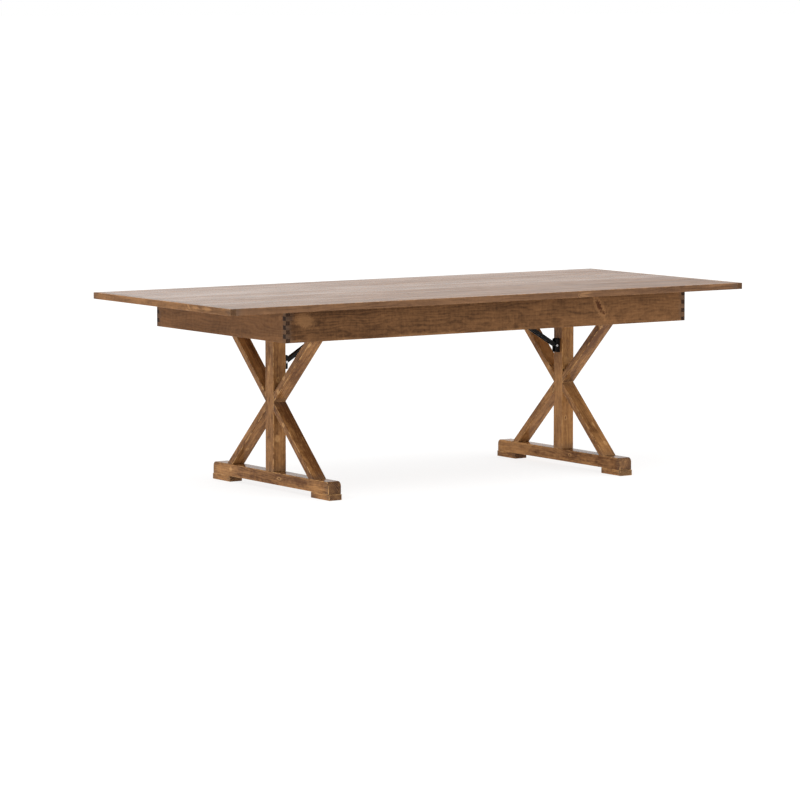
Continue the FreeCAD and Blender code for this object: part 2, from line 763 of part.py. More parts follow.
# The brace bar is a channel with round ends, its web on the upper side
def make_bar(label, side):
    body = new_body(label)
    profile = sketch_on(body, "XZ_Plane")
    slot(profile, ("0", "0"), ("bar_length", "0"), "bar_radius")
    pad(body, profile, "bar_width", both_ways=True)
    hollow = sketch_on(body, "XZ_Plane")
    rectangle(hollow, "-bar_depth", "-bar_depth", "bar_length + bar_depth", "bar_radius - bar_wall")
    cut(body, hollow, "bar_width / 2 - bar_wall")
    drill(body, "XZ_Plane", [("0", "0")], "rivet_bore", "bar_width / 2 + cut_overrun")
    drill(body, "XZ_Plane", [("bar_length", "0")], "track_pin_bore", "bar_width / 2 + cut_overrun")
    place(body, x=signed(side, "pivot_x"), z="brace_pivot_height",
          turn=180 if side > 0 else 0, tilt="-brace_angle")


def make_track_pin(label, side):
    body = new_body(label)
    face = sketch_on(body, "XZ_Plane")
    circle(face, "0", "0", "track_pin_radius")
    pad(body, face, "track_pin_length", both_ways=True)
    place(body, x=signed(side, "slot_open_x"), z="slot_height - track_notch_drop")


# Pivot pins of one leg, one in each end of its rail
def pivot_pin(sign):
    radius = number("hinge_pin_radius")
    edge = number("pin_chamfer")
    start = number("rail_length / 2 - hinge_pin_grip")
    end = number("apron_inner_y - hinge_pin_end_gap")
    pin = Part.makeCylinder(radius, end - start)
    pin = pin.makeChamfer(edge, [item for item in pin.Edges if len(item.Vertexes) == 1])
    turn = FreeCAD.Rotation(FreeCAD.Vector(0, 0, 1), FreeCAD.Vector(0, sign, 0))
    at = FreeCAD.Vector(0, sign * start, number("hinge_height"))
    pin.Placement = FreeCAD.Placement(at, turn)
    return pin


def small_screw(at, towards, length):
    return screw(at, towards, number(length), number("wood_screw_radius"),
                 number("small_head_radius"), number("small_head_height"))


def frame_screw(at, towards, length):
    return screw(at, towards, number(length), number("frame_screw_radius"),
                 number("frame_head_radius"), number("frame_head_height"))


def make_leg(name, side):
    make_rail(name + "_leg_top_rail", side)
    make_post(name + "_leg_post", side)
    for across, face in ((-1, "front"), (1, "back")):
        make_diagonal("%s_leg_upper_diagonal_%s" % (name, face), side, across, True)
        make_diagonal("%s_leg_lower_diagonal_%s" % (name, face), side, across, False)
        make_pad("%s_leg_foot_pad_%s" % (name, face), side, across)
    make_beam(name + "_leg_foot_beam", side)
    leg = {"x": side * number("leg_place"), "turn": 0 if side > 0 else 180}
    group(name + "_leg_pivot_pins", [pivot_pin(sign) for sign in (-1, 1)], **leg)
    screws = []
    for sign in (-1, 1):
        for y in ("post_screw_spread", "upper_screw"):
            at = (0, sign * number(y), number("rail_bottom + rail_height"))
            screws.append(frame_screw(at, (0, 0, -1), "rail_height + frame_screw_grip"))
        for y in ("post_screw_spread", "lower_screw"):
            at = (0, sign * number(y), number("pad_height"))
            screws.append(frame_screw(at, (0, 0, 1), "beam_height + frame_screw_grip"))
    for y in pad_screw_lines:
        at = (0, number(y), number("head_recess"))
        screws.append(frame_screw(at, (0, 0, 1), "pad_height - head_recess + pad_screw_grip"))
    group(name + "_leg_screws", screws, **leg)
    make_bracket(name + "_brace_bracket", side)
    seat = -number("half_leg + brace_steel")
    group(name + "_bracket_screws", [
        small_screw((seat, 0, number(z)), (1, 0, 0), "brace_steel + bracket_screw_grip")
        for z in bracket_screw_heights
    ], **leg)
    make_rivet(name + "_brace_rivet", side)
    make_bar(name + "_brace_bar", side)
    make_track_pin(name + "_brace_track_pin", side)


# Screws of the top: long ones through wood, short ones through steel
def wood_screws():
    screws = []
    low = number("underside - batten_thickness")
    for x in batten_places:
        for index in range(plank_count):
            at = (number(x), number(batten_screw_line(index)), low)
            screws.append(small_screw(at, (0, 0, 1), "batten_thickness + wood_screw_grip"))
    side_face = number("apron_inner_y - cleat_size")
    side_level = number("underside - cleat_size / 2")
    for sign in (-1, 1):
        for x in cleat_screws:
            at = (number(x), sign * number(cleat_line), number("underside - cleat_size"))
            screws.append(small_screw(at, (0, 0, 1), "cleat_size + wood_screw_grip"))
        for x in cleat_side_screws:
            at = (number(x), sign * side_face, side_level)
            screws.append(small_screw(at, (0, sign, 0), "cleat_size + wood_screw_grip"))
    return screws


def steel_screws():
    screws = []
    for side in (-1, 1):
        for x in track_screws:
            at = (side * number(x), 0, number("underside - track_wall"))
            screws.append(small_screw(at, (0, 0, 1), "track_wall + steel_screw_grip"))
        for sign in (-1, 1):
            face = sign * number("apron_inner_y - hinge_plate_thickness")
            for dx, dz in hinge_screw_places:
                at = (side * number("leg_place") + number(dx), face, number("hinge_height") + number(dz))
                screws.append(small_screw(at, (0, sign, 0), "hinge_plate_thickness + steel_screw_grip"))
    return screws


# The top
for plank in range(plank_count):
    make_plank(plank)
make_end_board("left_end_board", -1)
make_end_board("right_end_board", 1)
make_apron("front_apron", "apron_length", True, "0", "-apron_inner_y", 0)
make_apron("back_apron", "apron_length", True, "0", "apron_inner_y", 180)
make_apron("left_apron", "apron_width", False, "-apron_inner_x", "0", -90)
make_apron("right_apron", "apron_width", False, "apron_inner_x", "0", 90)
for batten, batten_place in zip(batten_labels, batten_places):
    make_batten(batten, batten_place)
make_cleat("front_cleat", 180)
make_cleat("back_cleat", 0)
group("corner_blocks", [corner_block(x, y) for x in (-1, 1) for y in (-1, 1)])
for end, end_side in (("left", -1), ("right", 1)):
    hinge_x = signed(end_side, "leg_place")
    make_hinge_plate(end + "_hinge_plate_front", hinge_x, "-apron_inner_y", 180)
    make_hinge_plate(end + "_hinge_plate_back", hinge_x, "apron_inner_y", 0)
make_track("left_brace_track", 180)
make_track("right_brace_track", 0)
group("top_wood_screws", wood_screws())
group("top_steel_screws", steel_screws())

# The two folding legs with their braces
make_leg("left", -1)
make_leg("right", 1)

doc.recompute()

for item in doc.Objects:
    if "Invalid" in item.State or "Error" in item.State:
        raise RuntimeError("%s failed: %s" % (item.Label, item.State))
for piece in pieces:
    if piece.Shape.isNull() or not piece.Shape.isValid():
        raise RuntimeError("%s has no valid shape" % piece.Label)

os.makedirs("parts", exist_ok=True)
for piece in pieces:
    piece.Shape.exportStep(os.path.join("parts", piece.Label + ".step"))
print("%d pieces" % len(pieces))
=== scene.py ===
import bpy
import bmesh
import json
import math
import random
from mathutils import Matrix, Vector


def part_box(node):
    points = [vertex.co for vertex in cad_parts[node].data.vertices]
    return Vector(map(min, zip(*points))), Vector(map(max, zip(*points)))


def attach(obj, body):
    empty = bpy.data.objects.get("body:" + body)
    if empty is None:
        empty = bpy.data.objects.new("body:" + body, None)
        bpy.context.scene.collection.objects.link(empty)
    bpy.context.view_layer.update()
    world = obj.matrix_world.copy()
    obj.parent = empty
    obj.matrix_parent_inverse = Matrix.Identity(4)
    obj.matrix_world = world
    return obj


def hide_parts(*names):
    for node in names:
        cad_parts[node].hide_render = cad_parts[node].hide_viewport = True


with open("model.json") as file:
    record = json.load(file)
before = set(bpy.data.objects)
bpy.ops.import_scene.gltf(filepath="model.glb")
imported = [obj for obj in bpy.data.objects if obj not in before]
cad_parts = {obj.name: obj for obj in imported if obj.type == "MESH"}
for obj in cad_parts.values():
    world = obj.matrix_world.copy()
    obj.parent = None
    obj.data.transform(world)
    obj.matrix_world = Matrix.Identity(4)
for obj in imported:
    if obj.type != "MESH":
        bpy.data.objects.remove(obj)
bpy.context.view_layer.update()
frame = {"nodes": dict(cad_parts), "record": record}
nodes = frame["nodes"]
random.seed(41)

# the camera's place in metres, its turn to the right and its dip in radians, and its lens in millimetres
cameraView = {
    "place": (-8.7721, -12.7868, 1.9004),
    "turn": 0.5953,
    "dip": 0.1022,
    "lens": 175.18,
    "sensorWidth": 36.0,
    "farthest": 1000.0,
}


def addCamera():
    turn = cameraView["turn"]
    dip = cameraView["dip"]
    data = bpy.data.cameras.new("tableCamera")
    data.lens = cameraView["lens"]
    data.sensor_width = cameraView["sensorWidth"]
    data.clip_end = cameraView["farthest"]
    camera = bpy.data.objects.new("tableCamera", data)
    camera.location = cameraView["place"]
    ahead = Vector((math.sin(turn) * math.cos(dip), math.cos(turn) * math.cos(dip), -math.sin(dip)))
    camera.rotation_euler = ahead.to_track_quat("-Z", "Y").to_euler()
    bpy.context.collection.objects.link(camera)
    bpy.context.scene.camera = camera


addCamera()
print("camera in place")


# small helpers for node trees
def addNode(tree, kind, inputs=None, **settings):
    node = tree.nodes.new(kind)
    for key, value in settings.items():
        setattr(node, key, value)
    for key, value in (inputs or {}).items():
        if isinstance(value, bpy.types.NodeSocket):
            tree.links.new(value, node.inputs[key])
        else:
            node.inputs[key].default_value = value
    return node


def math2(tree, operation, a, b=None, clamp=False):
    inputs = {0: a}
    if b is not None:
        inputs[1] = b
    return addNode(tree, "ShaderNodeMath", inputs, operation=operation, use_clamp=clamp).outputs[0]


def plus(tree, a, b):
    return math2(tree, "ADD", a, b)


def times(tree, a, b):
    return math2(tree, "MULTIPLY", a, b)


def hypotenuse(tree, a, b):
    squares = plus(tree, math2(tree, "POWER", a, 2.0), math2(tree, "POWER", b, 2.0))
    return math2(tree, "SQRT", squares)


def vectorMath(tree, operation, a, b):
    return addNode(tree, "ShaderNodeVectorMath", {0: a, 1: b}, operation=operation).outputs[0]


def newGroup(name, inputs, outputs):
    tree = bpy.data.node_groups.new(name, "ShaderNodeTree")
    for label, kind, value in inputs:
        socket = tree.interface.new_socket(label, in_out="INPUT", socket_type="NodeSocket" + kind)
        if value is not None:
            socket.default_value = value
    for label in outputs:
        tree.interface.new_socket(label, in_out="OUTPUT", socket_type="NodeSocketFloat")
    return tree, tree.nodes.new("NodeGroupInput"), tree.nodes.new("NodeGroupOutput")


def attribute(tree, name, output="Fac"):
    return addNode(tree, "ShaderNodeAttribute", attribute_name=name).outputs[output]


def noise(tree, vector, scale, detail=3.0, roughness=0.55):
    return addNode(tree, "ShaderNodeTexNoise", {
        "Vector": vector, "Scale": scale, "Detail": detail, "Roughness": roughness,
    }).outputs["Fac"]


def mapRange(tree, value, low, high, toLow=0.0, toHigh=1.0):
    return addNode(tree, "ShaderNodeMapRange", {
        "Value": value, "From Min": low, "From Max": high, "To Min": toLow, "To Max": toHigh,
    }, interpolation_type="SMOOTHSTEP").outputs["Result"]


# the mix node has its factor and its two colours at these inputs, and the mixed colour at output 2
def mixColour(tree, factor, a, b):
    return addNode(tree, "ShaderNodeMix", {0: factor, 6: a, 7: b}, data_type="RGBA").outputs[2]


# Noise drawn out along a board: swings in a metre along and across its grain, detail and roughness
grainLayers = {
    "drift": (2.4, 8.0, 2.0, 0.55),
    "wobble": (14.0, 60.0, 2.0, 0.55),
    "fineStreaks": (9.0, 190.0, 2.0, 0.6),
    "longStreaks": (2.6, 46.0, 3.0, 0.6),
    "patches": (6.0, 15.0, 4.0, 0.6),
    "mottle": (55.0, 95.0, 4.0, 0.65),
    "chatter": (130.0, 16.0, 3.0, 0.6),
    "fibres": (14.0, 900.0, 2.0, 0.6),
    "sheen": (1.6, 20.0, 3.0, 0.6),
    "raggedMargin": (30.0, 60.0, 3.0, 0.55),
    "rubbing": (3.0, 30.0, 2.0, 0.55),
}
noiseMiddle = 0.5


def grainNoise(tree, place, layer):
    along, across, detail, roughness = grainLayers[layer]
    drawnOut = vectorMath(tree, "MULTIPLY", place, (along, across, across))
    return noise(tree, drawnOut, 1.0, detail, roughness)


# a board carries up to this many knots
knotLetters = "ABCD"

# How a knot's marks fade, in radii from its middle. A smaller squeeze draws a mark out along the grain.
knotLook = {
    "smallest": 0.0002,
    "raggedScale": 150.0,
    "raggedDetail": 2.0,
    "raggedness": 1.8,
    "core": {"squeeze": 0.80, "fade": (1.15, 0.40)},
    "halo": {"squeeze": 0.75, "fade": (2.1, 0.7)},
    "push": {"squeeze": 0.30, "reach": 2.4},
}


# One knot: how far a point is from it, as a dark core, a pale halo and a push on the growth rings.
# The knot attribute holds the way to the knot along and across the grain, and its radius at that depth.
def makeKnotGroup():
    tree, start, end = newGroup("knotMark", [("Knot", "Vector", None)], ["Core", "Halo", "Push"])
    radius = addNode(tree, "ShaderNodeSeparateXYZ", {0: start.outputs["Knot"]}).outputs[2]
    radius = math2(tree, "MAXIMUM", radius, knotLook["smallest"])
    cloud = addNode(tree, "ShaderNodeTexNoise", {
        "Vector": attribute(tree, "boardPlace", "Vector"),
        "Scale": knotLook["raggedScale"], "Detail": knotLook["raggedDetail"],
    }).outputs["Color"]
    swing = vectorMath(tree, "SUBTRACT", cloud, (noiseMiddle, noiseMiddle, noiseMiddle))
    sway = addNode(tree, "ShaderNodeVectorMath", {
        0: swing, "Scale": times(tree, radius, knotLook["raggedness"]),
    }, operation="SCALE").outputs[0]
    parts = addNode(tree, "ShaderNodeSeparateXYZ", {0: vectorMath(tree, "ADD", start.outputs["Knot"], sway)})

    def farness(squeeze):
        away = hypotenuse(tree, times(tree, parts.outputs[0], squeeze), parts.outputs[1])
        return math2(tree, "DIVIDE", away, radius)

    core = mapRange(tree, farness(knotLook["core"]["squeeze"]), *knotLook["core"]["fade"])
    halo = mapRange(tree, farness(knotLook["halo"]["squeeze"]), *knotLook["halo"]["fade"])
    reach = math2(tree, "DIVIDE", farness(knotLook["push"]["squeeze"]), knotLook["push"]["reach"])
    bell = math2(tree, "EXPONENT", times(tree, math2(tree, "POWER", reach, 2.0), -1.0))
    for label, value in (("Core", core), ("Halo", halo), ("Push", times(tree, bell, radius))):
        tree.links.new(value, end.inputs[label])
    return tree


# How far the layers and knots bend the rings, where in a ring the late wood lies, and what each adds
figureLook = {
    "driftReach": 0.08,
    "wobbleReach": 0.005,
    "knotReach": 0.9,
    "lateWoodGrows": (0.25, 0.86),
    "lateWoodEnds": (0.99, 0.88),
    "lateWoodMiddle": 0.3,
    "fineStreaks": 0.4,
    "longStreaks": 0.6,
    "fibres": 0.4,
    "paleHalo": 0.28,
    "lateWoodRelief": 0.4,
    "patchGloss": 0.3,
    "sheenGloss": 0.7,
}


# The figure of solid pine in a board's own coordinates. Depth is how dark the stain lies, from the
# growth rings, long streaks, wide patches, fine mottling and chatter across the grain.
def makeFigureGroup():
    tree, start, end = newGroup("pineFigure", [
        ("Tone", "Float", 0.5), ("Ring Pitch", "Float", 0.006), ("Rings", "Float", 0.3),
        ("Streaks", "Float", 1.0), ("Patches", "Float", 1.0),
        ("Mottle", "Float", 1.0), ("Chatter", "Float", 1.0),
    ], ["Depth", "Late Wood", "Relief", "Gloss", "Knot Core", "Knot Halo"])
    look = figureLook
    place = attribute(tree, "boardPlace", "Vector")
    core, halo, push = 0.0, 0.0, 0.0
    for letter in knotLetters:
        knotPlace = attribute(tree, "knot" + letter, "Vector")
        mark = addNode(tree, "ShaderNodeGroup", {"Knot": knotPlace}, node_tree=knotGroup)
        stained = times(tree, mark.outputs["Core"], attribute(tree, "dark" + letter))
        core = math2(tree, "MAXIMUM", stained, core)
        halo = math2(tree, "MAXIMUM", mark.outputs["Halo"], halo)
        push = plus(tree, mark.outputs["Push"], push)

    parts = addNode(tree, "ShaderNodeSeparateXYZ", {0: place})
    warped = hypotenuse(tree, parts.outputs[1], parts.outputs[2])
    warped = plus(tree, warped, times(tree, grainNoise(tree, place, "drift"), look["driftReach"]))
    warped = plus(tree, warped, times(tree, grainNoise(tree, place, "wobble"), look["wobbleReach"]))
    warped = plus(tree, warped, times(tree, push, look["knotReach"]))
    turns = math2(tree, "FRACT", math2(tree, "DIVIDE", warped, start.outputs["Ring Pitch"]))
    rings = times(tree, mapRange(tree, turns, *look["lateWoodGrows"]),
                  mapRange(tree, turns, *look["lateWoodEnds"]))

    streaks = plus(tree, times(tree, grainNoise(tree, place, "fineStreaks"), look["fineStreaks"]),
                   times(tree, grainNoise(tree, place, "longStreaks"), look["longStreaks"]))
    patches = grainNoise(tree, place, "patches")
    mottle = grainNoise(tree, place, "mottle")
    chatter = grainNoise(tree, place, "chatter")
    fibres = grainNoise(tree, place, "fibres")
    # the board's tone, which also carries painted shade and light
    depth = plus(tree, start.outputs["Tone"], attribute(tree, "boardToneAndPaintedShade"))
    for label, value, middle in (
        ("Rings", rings, look["lateWoodMiddle"]), ("Streaks", streaks, noiseMiddle),
        ("Patches", patches, noiseMiddle), ("Mottle", mottle, noiseMiddle), ("Chatter", chatter, noiseMiddle),
    ):
        swing = math2(tree, "SUBTRACT", value, middle)
        depth = plus(tree, depth, times(tree, swing, start.outputs[label]))
    swing = times(tree, math2(tree, "SUBTRACT", fibres, noiseMiddle), look["fibres"])
    depth = math2(tree, "ADD", depth, swing, clamp=True)
    depth = math2(tree, "SUBTRACT", depth, times(tree, halo, look["paleHalo"]), clamp=True)

    relief = plus(tree, times(tree, rings, look["lateWoodRelief"]), fibres)
    gloss = plus(tree, times(tree, patches, look["patchGloss"]),
                 times(tree, grainNoise(tree, place, "sheen"), look["sheenGloss"]))
    for label, value in (("Depth", depth), ("Late Wood", rings), ("Relief", relief), ("Gloss", gloss),
                         ("Knot Core", core), ("Knot Halo", halo)):
        tree.links.new(value, end.inputs[label])
    return tree


marginLook = {"raggedness": 2.0, "rubbed": (0.36, 0.58)}


# Where a board ends, the stain lies darker and greyer, and its lower edge is rubbed paler.
# The spot attribute holds the place along the board, the height above its lower edge, and half its length.
def makeMarginGroup():
    tree, start, end = newGroup("boardMargins", [
        ("End Reach", "Float", 0.04), ("Edge Reach", "Float", 0.015),
    ], ["Near End", "Low Edge"])
    parts = addNode(tree, "ShaderNodeSeparateXYZ", {0: attribute(tree, "boardSpot", "Vector")})
    place = attribute(tree, "boardPlace", "Vector")
    ragged = times(tree, grainNoise(tree, place, "raggedMargin"), marginLook["raggedness"])
    endRoom = math2(tree, "SUBTRACT", parts.outputs[2], math2(tree, "ABSOLUTE", parts.outputs[0]))
    nearEnd = mapRange(tree, times(tree, endRoom, ragged), start.outputs["End Reach"], 0.0)
    low = mapRange(tree, times(tree, parts.outputs[1], ragged), start.outputs["Edge Reach"], 0.0)
    rubbed = mapRange(tree, grainNoise(tree, place, "rubbing"), *marginLook["rubbed"])
    tree.links.new(nearEnd, end.inputs["Near End"])
    tree.links.new(times(tree, low, rubbed), end.inputs["Low Edge"])
    return tree


wearBreaks = (0.42, 0.62)


# Wear on eased edges: the edge faces carry an attribute, broken up by noise
def makeWearGroup():
    tree, start, end = newGroup("edgeWear", [
        ("Place", "Vector", None), ("Scale", "Float", 40.0), ("Amount", "Float", 0.6),
    ], ["Wear"])
    broken = mapRange(tree, noise(tree, start.outputs["Place"], start.outputs["Scale"]), *wearBreaks)
    wear = times(tree, times(tree, attribute(tree, "easedEdge"), broken), start.outputs["Amount"])
    tree.links.new(wear, end.inputs["Wear"])
    return tree


knotGroup = makeKnotGroup()
figureGroup = makeFigureGroup()
marginGroup = makeMarginGroup()
wearGroup = makeWearGroup()
print("shader groups made")

# Stained pine, a dictionary for each finish. The names with a capital are inputs of the figure group.
# endShare is how dark end grain lies and endRings how much its rings show. The edge shade is painted shade
# on the tabletop's upright edges, lowShare rubs a lower edge pale, and toneGloss makes darker wood less
# glossy.
pineFinishes = {
    "tabletopPlanks": {
        "light": (0.350, 0.176, 0.080, 1), "dark": (0.099, 0.043, 0.017, 1), "halo": (0.52, 0.28, 0.12, 1),
        "endGrain": (0.024, 0.012, 0.007, 1), "knot": (0.036, 0.012, 0.005, 1),
        "Tone": 0.50, "Ring Pitch": 0.0075, "Rings": 0.14, "Streaks": 1.9, "Patches": 0.6, "Mottle": 0.4,
        "Chatter": 0.3, "haloShare": 0.35, "endShare": 0.75, "endRings": 0.0, "sideShade": 0.38,
        "lowShare": 0.0, "roughness": 0.25, "glossSwing": 0.40, "toneGloss": 0.6,
        "specular": 0.12, "bump": 0.10,
    },
    "tabletopEndBoards": {
        "light": (0.385, 0.188, 0.072, 1), "dark": (0.116, 0.050, 0.017, 1), "halo": (0.48, 0.25, 0.10, 1),
        "endGrain": (0.024, 0.012, 0.007, 1), "knot": (0.036, 0.012, 0.005, 1),
        "Tone": 0.50, "Ring Pitch": 0.0060, "Rings": 0.16, "Streaks": 1.7, "Patches": 1.2, "Mottle": 0.7,
        "Chatter": 0.3, "haloShare": 0.40, "endShare": 0.55, "endRings": 0.0, "sideShade": 0.18,
        "lowShare": 0.0, "roughness": 0.24, "glossSwing": 0.3, "toneGloss": 0.0,
        "specular": 0.04, "bump": 0.12,
    },
    "apronBoards": {
        "light": (0.222, 0.106, 0.044, 1), "dark": (0.056, 0.026, 0.012, 1), "halo": (0.30, 0.158, 0.070, 1),
        "endGrain": (0.018, 0.009, 0.006, 1), "knot": (0.038, 0.010, 0.004, 1),
        "Tone": 0.56, "Ring Pitch": 0.0080, "Rings": 0.16, "Streaks": 1.0, "Patches": 0.8, "Mottle": 0.85,
        "Chatter": 0.45, "haloShare": 0.30, "endShare": 0.80, "endRings": 0.2, "sideShade": 0.0,
        "lowShare": 0.5, "roughness": 0.36, "glossSwing": 0.3, "toneGloss": 0.0,
        "specular": 0.02, "bump": 0.12,
    },
    "innerBoards": {
        "light": (0.340, 0.185, 0.080, 1), "dark": (0.140, 0.068, 0.028, 1), "halo": (0.42, 0.24, 0.11, 1),
        "endGrain": (0.060, 0.026, 0.012, 1), "knot": (0.080, 0.030, 0.012, 1),
        "Tone": 0.45, "Ring Pitch": 0.0050, "Rings": 0.25, "Streaks": 1.3, "Patches": 1.0, "Mottle": 0.8,
        "Chatter": 0.3, "haloShare": 0.30, "endShare": 0.70, "endRings": 0.5, "sideShade": 0.0,
        "lowShare": 0.0, "roughness": 0.50, "glossSwing": 0.3, "toneGloss": 0.0,
        "specular": 0.10, "bump": 0.15,
    },
    "legTimber": {
        "light": (0.430, 0.216, 0.080, 1), "dark": (0.104, 0.042, 0.0150, 1), "halo": (0.62, 0.36, 0.15, 1),
        "endGrain": (0.030, 0.013, 0.007, 1), "knot": (0.050, 0.015, 0.006, 1),
        "Tone": 0.50, "Ring Pitch": 0.0055, "Rings": 0.18, "Streaks": 2.0, "Patches": 1.8, "Mottle": 0.9,
        "Chatter": 0.25, "haloShare": 0.40, "endShare": 0.50, "endRings": 0.6, "sideShade": 0.0,
        "lowShare": 0.0, "roughness": 0.17, "glossSwing": 0.2, "toneGloss": 0.0,
        "specular": 0.04, "bump": 0.14,
    },
}

# What all the pine finishes share. Near a board's ends the stain is grey, and a share of its end grain's.
pineLook = {
    "greyStain": (0.075, 0.060, 0.050, 1),
    "nearEnd": 0.6,
    "endRingsMiddle": 0.35,
    "wearScale": 35.0,
    "wear": 0.6,
    "reliefHeight": 0.0006,
}


def makePine(name, finish):
    material = bpy.data.materials.new(name)
    material.use_nodes = True
    tree = material.node_tree
    shader = tree.nodes["Principled BSDF"]
    own = {label: value for label, value in finish.items() if label[0].isupper()}
    figure = addNode(tree, "ShaderNodeGroup", own, node_tree=figureGroup).outputs
    margins = addNode(tree, "ShaderNodeGroup", node_tree=marginGroup).outputs

    colour = mixColour(tree, figure["Depth"], finish["light"], finish["dark"])
    colour = mixColour(tree, times(tree, margins["Low Edge"], finish["lowShare"]), colour, finish["halo"])
    colour = mixColour(tree, times(tree, figure["Knot Halo"], finish["haloShare"]), colour, finish["halo"])
    colour = mixColour(tree, figure["Knot Core"], colour, finish["knot"])
    greyed = times(tree, margins["Near End"], finish["endShare"] * pineLook["nearEnd"])
    colour = mixColour(tree, greyed, colour, pineLook["greyStain"])
    ringShare = plus(tree, times(tree, figure["Late Wood"], finish["endRings"]),
                     finish["endShare"] - pineLook["endRingsMiddle"] * finish["endRings"])
    # end grain darkens, and the tabletop's upright edges get painted shade in the end grain's colour
    colour = mixColour(tree, times(tree, attribute(tree, "endFaceAndEdgeShade"), ringShare), colour, finish["endGrain"])
    wear = addNode(tree, "ShaderNodeGroup", {
        "Place": attribute(tree, "boardPlace", "Vector"),
        "Scale": pineLook["wearScale"], "Amount": pineLook["wear"],
    }, node_tree=wearGroup).outputs["Wear"]
    colour = mixColour(tree, wear, colour, finish["halo"])
    tree.links.new(colour, shader.inputs["Base Color"])

    swing = times(tree, math2(tree, "SUBTRACT", figure["Gloss"], noiseMiddle), finish["glossSwing"])
    swing = plus(tree, swing, times(tree, attribute(tree, "boardToneAndPaintedShade"), finish["toneGloss"]))
    tree.links.new(math2(tree, "ADD", swing, finish["roughness"], clamp=True), shader.inputs["Roughness"])
    shader.inputs["Specular IOR Level"].default_value = finish["specular"]
    bump = addNode(tree, "ShaderNodeBump", {
        "Strength": finish["bump"], "Distance": pineLook["reliefHeight"], "Height": figure["Relief"],
    })
    tree.links.new(bump.outputs["Normal"], shader.inputs["Normal"])
    return material


pine = {name: makePine(name, finish) for name, finish in pineFinishes.items()}

steelFinishes = {
    "blackSteel": {"colour": (0.0045, 0.0045, 0.005, 1), "worn": (0.030, 0.028, 0.026, 1), "metallic": 0.0,
                   "roughness": 0.45, "grainScale": 900.0, "bump": 0.25, "specular": 0.12},
    "zincSteel": {"colour": (0.40, 0.40, 0.41, 1), "worn": (0.28, 0.285, 0.29, 1), "metallic": 1.0,
                  "roughness": 0.36, "grainScale": 350.0, "bump": 0.08, "specular": 0.5},
}

# what both steel finishes share
steelLook = {
    "cloudScale": 60.0,
    "cloudFade": (0.45, 0.75),
    "cloudColour": 0.25,
    "cloudRoughness": 0.15,
    "wearScale": 120.0,
    "wear": 0.7,
    "grainHeight": 0.0002,
}


def makeSteel(name, finish):
    material = bpy.data.materials.new(name)
    material.use_nodes = True
    tree = material.node_tree
    shader = tree.nodes["Principled BSDF"]
    place = addNode(tree, "ShaderNodeTexCoord").outputs["Object"]
    grain = noise(tree, place, finish["grainScale"], detail=2.0)
    cloud = mapRange(tree, noise(tree, place, steelLook["cloudScale"]), *steelLook["cloudFade"])
    wear = addNode(tree, "ShaderNodeGroup", {
        "Place": place, "Scale": steelLook["wearScale"], "Amount": steelLook["wear"],
    }, node_tree=wearGroup).outputs["Wear"]
    colour = mixColour(tree, times(tree, cloud, steelLook["cloudColour"]), finish["colour"], finish["worn"])
    colour = mixColour(tree, wear, colour, finish["worn"])
    tree.links.new(colour, shader.inputs["Base Color"])
    shader.inputs["Metallic"].default_value = finish["metallic"]
    shader.inputs["Specular IOR Level"].default_value = finish["specular"]
    rough = plus(tree, times(tree, cloud, steelLook["cloudRoughness"]), finish["roughness"])
    tree.links.new(rough, shader.inputs["Roughness"])
    bump = addNode(tree, "ShaderNodeBump", {
        "Strength": finish["bump"], "Distance": steelLook["grainHeight"], "Height": grain,
    })
    tree.links.new(bump.outputs["Normal"], shader.inputs["Normal"])
    return material


steel = {name: makeSteel(name, finish) for name, finish in steelFinishes.items()}
print("materials made")

xWay, yWay, zWay = Vector((1, 0, 0)), Vector((0, 1, 0)), Vector((0, 0, 1))
diagonalSlope = math.radians(43.6)


# an upper diagonal rises away from the post, and a lower one falls
def slopeWay(node):
    low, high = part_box(node)
    outward = 1 if (low.y + high.y) > 0 else -1
    upward = outward if "upper" in node else -outward
    return Vector((0, math.cos(diagonalSlope), upward * math.sin(diagonalSlope)))


# the way of a board's grain, the way across it, its finish, how it is eased, and its material slot
def boardKind(node):
    if node.startswith("plank_"):
        return xWay, yWay, "tabletopPlanks", "board", "tabletop_planks"
    if node.endswith("end_board"):
        return yWay, zWay, "tabletopEndBoards", "board", "tabletop_end_boards"
    if node.endswith("_apron"):
        return (yWay if node[0] in "lr" else xWay), zWay, "apronBoards", "apron", "apron_boards"
    if node.endswith("_batten"):
        return yWay, xWay, "innerBoards", "board", "inner_boards"
    if node.endswith("_cleat"):
        return xWay, yWay, "innerBoards", "board", "inner_boards"
    if node == "corner_blocks":
        return zWay, xWay, "innerBoards", "board", "inner_boards"
    if node.endswith("leg_post"):
        return zWay, yWay, "legTimber", "timber", "leg_timber"
    if "diagonal" in node:
        way = slopeWay(node)
        return way, way.cross(xWay), "legTimber", "timber", "leg_timber"
    if "leg_top_rail" in node or "foot" in node:
        return yWay, zWay, "legTimber", "timber", "leg_timber"
    return None


# ways into the diagonals' sloping faces
downIntoSlope = Vector((0, 0.690, -0.724))
upIntoSlope = Vector((0, 0.690, 0.724))

radiiDeep = 7  # how deep a knot goes, in its radii, where no depth is given
edgeKnotDepth = 0.006  # how deep one in the tabletop's edge goes
farAway = 9  # past any board

